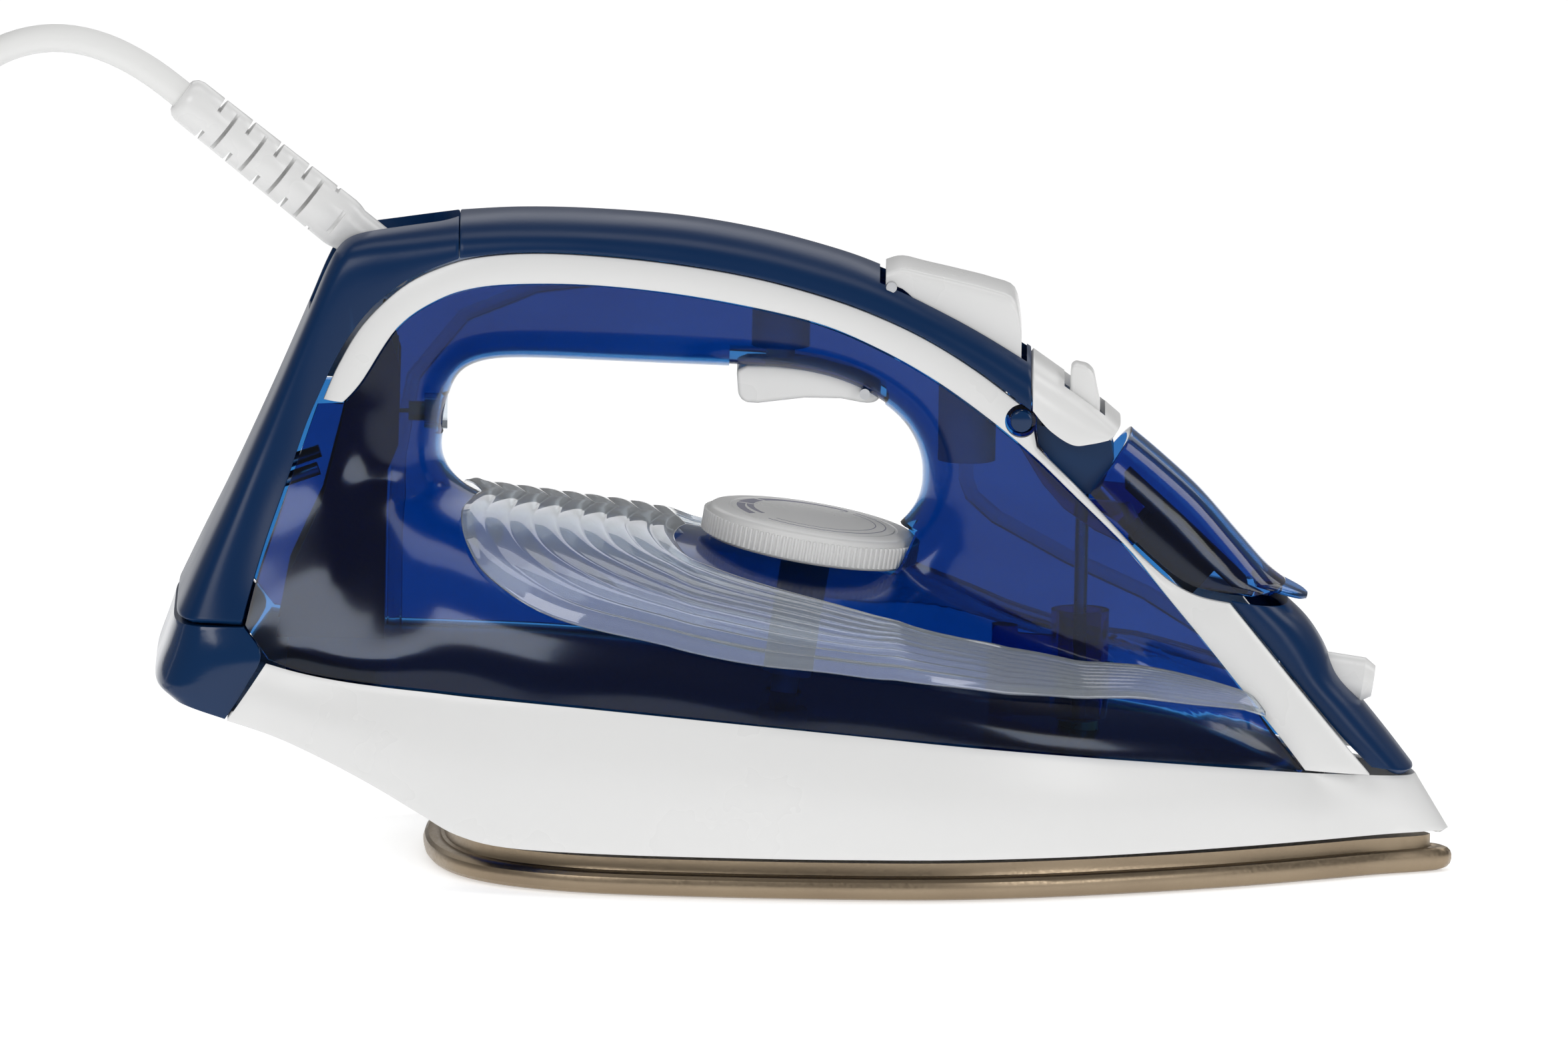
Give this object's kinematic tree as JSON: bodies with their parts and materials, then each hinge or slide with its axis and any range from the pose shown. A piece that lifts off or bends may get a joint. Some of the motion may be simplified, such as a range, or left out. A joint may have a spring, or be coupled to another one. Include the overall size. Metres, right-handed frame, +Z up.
{
  "type": "steam iron",
  "caption": "Household steam iron with arched handle, translucent water tank, dial, spray button, steam trigger, filler door, swivelling cord boot and coiled mains cord with plug.",
  "frame": {"origin": "centre of the iron's own box in plan, at the ironing face of the soleplate, cord left out", "axes": "+X towards the nose, +Y towards the iron's left side, +Z up from the ironing face"},
  "size_m": [0.4635, 0.1472, 0.1857],
  "materials": {
    "sole_metal": "satin ceramic-coated",
    "cast_metal": "as cast",
    "steel": "satin",
    "heater_steel": "dull",
    "brass": "turned",
    "ceramic": "matt",
    "seal_rubber": "matt",
    "dark_plastic": "fine texture",
    "black_plastic": "matt",
    "white_plastic": "semi-gloss",
    "tank_plastic": "translucent, glossy",
    "clear_plastic": "translucent",
    "grey_plastic": "natural",
    "lamp_glass": "clear",
    "wire_insulation": "matt",
    "cord_rubber": "satin",
    "plug_plastic": "satin"
  },
  "bodies": {
    "housing": {"soleplate": "sole_metal", "steam_chamber": "cast_metal", "heating_element": "heater_steel", "chamber_cover": "cast_metal", "chamber_gasket": "seal_rubber", "thermostat": "brass", "thermal_fuse": "ceramic", "heat_shield": "black_plastic", "skirt": "white_plastic", "water_tank": "tank_plastic", "tank_floor": "tank_plastic", "tank_window": "clear_plastic", "side_trims": "white_plastic", "handle_cover": "dark_plastic", "rear_cover": "dark_plastic", "heel_rest": "dark_plastic", "nose_cover": "dark_plastic", "control_console": "white_plastic", "filler_funnel": "black_plastic", "spray_nozzle": "white_plastic", "nozzle_nut": "grey_plastic", "spindle_sleeve": "grey_plastic", "indicator_lens": "clear_plastic", "indicator_lamp": "lamp_glass", "terminal_block": "ceramic", "cord_clamp": "black_plastic", "mains_wires": "wire_insulation", "spray_pump_barrel": "grey_plastic", "steam_pump_barrel": "grey_plastic", "spray_hose": "clear_plastic", "steam_hose": "clear_plastic", "valve_tube": "tank_plastic", "valve_seat": "brass", "button_pin": "steel", "trigger_pin": "steel", "door_pins": "steel", "cover_screws": "steel", "sole_screws": "steel", "spray_spring": "steel", "steam_spring": "steel", "power_cord": "cord_rubber", "cord_coil": "cord_rubber", "plug_body": "plug_plastic", "plug_pins": "steel", "valve_shroud": "dark_plastic", "cable_duct": "dark_plastic"},
    "dial": {"temperature_dial": "white_plastic", "dial_spindle": "grey_plastic"},
    "slider": {"steam_slider": "white_plastic"},
    "needle": {"valve_needle": "steel"},
    "button": {"spray_button": "white_plastic"},
    "spray_piston": {"spray_plunger": "grey_plastic"},
    "trigger": {"steam_trigger": "white_plastic"},
    "steam_piston": {"steam_plunger": "grey_plastic"},
    "door": {"filler_door": "tank_plastic"},
    "boot": {"cord_boot": "white_plastic"}
  },
  "joints": [
    {"name": "dial_turn", "type": "hinge", "parent": "housing", "child": "dial", "pos_m": [0, 0, 0.0704], "axis": [0.1478, 0, 0.989], "range_deg": [0, 270]},
    {"name": "slider_slide", "type": "slide", "parent": "housing", "child": "slider", "axis": [0, 1, 0], "range_m": [0, 0.012]},
    {"name": "needle_lift", "type": "slide", "parent": "housing", "child": "needle", "axis": [0, 0, 1], "range_m": [0, 0.0024]},
    {"name": "button_press", "type": "hinge", "parent": "housing", "child": "button", "pos_m": [0.0175, 0, 0.1316], "axis": [0, 1, 0], "range_deg": [0, 7], "stiffness_Nm_per_rad": 1},
    {"name": "spray_stroke", "type": "slide", "parent": "housing", "child": "spray_piston", "axis": [0, 0, -1], "range_m": [0, 0.0024], "deforming": ["spray_spring"]},
    {"name": "trigger_press", "type": "hinge", "parent": "housing", "child": "trigger", "pos_m": [0.012, 0, 0.1068], "axis": [0, 1, 0], "range_deg": [0, 5.5], "stiffness_Nm_per_rad": 1},
    {"name": "steam_stroke", "type": "slide", "parent": "housing", "child": "steam_piston", "axis": [0, 0, 1], "range_m": [0, 0.0022], "deforming": ["steam_spring"]},
    {"name": "door_open", "type": "hinge", "parent": "housing", "child": "door", "pos_m": [0.0471, 0, 0.1026], "axis": [0, -1, 0], "range_deg": [0, 40]},
    {"name": "boot_swing", "type": "hinge", "parent": "housing", "child": "boot", "pos_m": [-0.093, 0, 0.132], "axis": [0, 1, 0], "range_deg": [-15, 40]}
  ],
  "couplings": [
    {"joint": "needle_lift", "follows": "slider_slide", "ratio": 0.2},
    {"joint": "spray_stroke", "follows": "button_press", "m_per_rad": 0.0175},
    {"joint": "steam_stroke", "follows": "trigger_press", "m_per_rad": 0.02}
  ]
}
